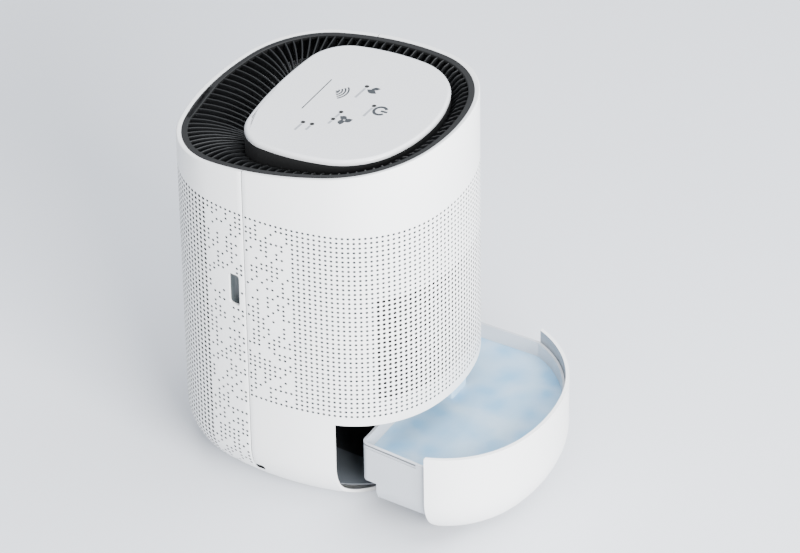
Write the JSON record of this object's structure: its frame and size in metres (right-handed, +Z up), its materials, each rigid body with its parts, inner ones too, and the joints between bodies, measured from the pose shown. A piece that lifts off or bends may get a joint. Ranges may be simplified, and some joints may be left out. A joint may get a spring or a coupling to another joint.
{
  "type": "dehumidifier",
  "caption": "Free-standing Peltier dehumidifier: tall rounded perforated body, sloping top with a finned vent ring and touch pad, and a pull-out water tank.",
  "frame": {"origin": "floor level in the middle of the body, on the face of the rubber mat it stands on", "axes": "+Z up; the tank slides out towards -Y; the rear cover pulls off towards +Y; X is left to right"},
  "size_m": [0.2198, 0.3294, 0.3709],
  "materials": {
    "shell_white": "satin",
    "pad_white": "satin",
    "dark_plastic": "matte",
    "vent_charcoal": "matte",
    "bay_grey": "matte",
    "foot_rubber": "matte",
    "sink_aluminium": "extruded",
    "module_ceramic": "ceramic",
    "foam_black": "matte",
    "fan_black": "satin",
    "bearing_bronze": "sintered",
    "coil_copper": "enamelled",
    "magnet_dark": "plain",
    "steel_bright": "plain",
    "screw_steel": "zinc plated",
    "lamp_lens": "gloss",
    "board_green": "satin",
    "filter_grey": "matte",
    "filter_fibre": "fibre",
    "tank_grey": "satin",
    "float_foam": "foam"
  },
  "bodies": {
    "housing": {"front_shell": "shell_white", "base_pan": "shell_white", "foot_mat": "foot_rubber", "bay_liner": "bay_grey", "tank_deck": "bay_grey", "rear_stand": "bay_grey", "hot_sink": "sink_aluminium", "cold_sink": "sink_aluminium", "peltier_modules": "module_ceramic", "module_gasket": "foam_black", "drip_tray": "dark_plastic", "core_frame": "dark_plastic", "fan_frame": "fan_black", "fan_bearing": "bearing_bronze", "fan_coils": "coil_copper", "fan_screws": "screw_steel", "vent_ring": "vent_charcoal", "control_pad": "pad_white", "lamps": "lamp_lens", "control_board": "board_green", "touch_springs": "steel_bright", "board_screws": "screw_steel", "power_board": "board_green", "dc_inlet": "fan_black", "level_board": "board_green"},
    "rear_access": {"rear_cover": "shell_white", "grip_cups": "dark_plastic", "filter_frame": "filter_grey", "filter_media": "filter_fibre"},
    "tank": {"tank_body": "tank_grey", "tank_front": "shell_white", "float_pin": "steel_bright"},
    "float": {"float_block": "float_foam", "float_magnet": "magnet_dark"},
    "fan": {"fan_rotor": "fan_black", "fan_magnet": "magnet_dark", "fan_shaft": "steel_bright"}
  },
  "joints": [
    {"name": "tank_slide", "type": "slide", "parent": "housing", "child": "tank", "axis": [0, -1, 0], "range_m": [-0.086, 0.045]},
    {"name": "float_swing", "type": "hinge", "parent": "tank", "child": "float", "pos_m": [0.02, -0.0902, 0.078], "axis": [1, 0, 0], "range_deg": [-6, 28]},
    {"name": "rear_cover_slide", "type": "slide", "parent": "housing", "child": "rear_access", "axis": [0, 1, 0], "range_m": [0, 0.12]},
    {"name": "fan_spin", "type": "hinge", "parent": "housing", "child": "fan", "pos_m": [0, 0, 0.275], "axis": [0, 0, 1], "continuous": true}
  ]
}
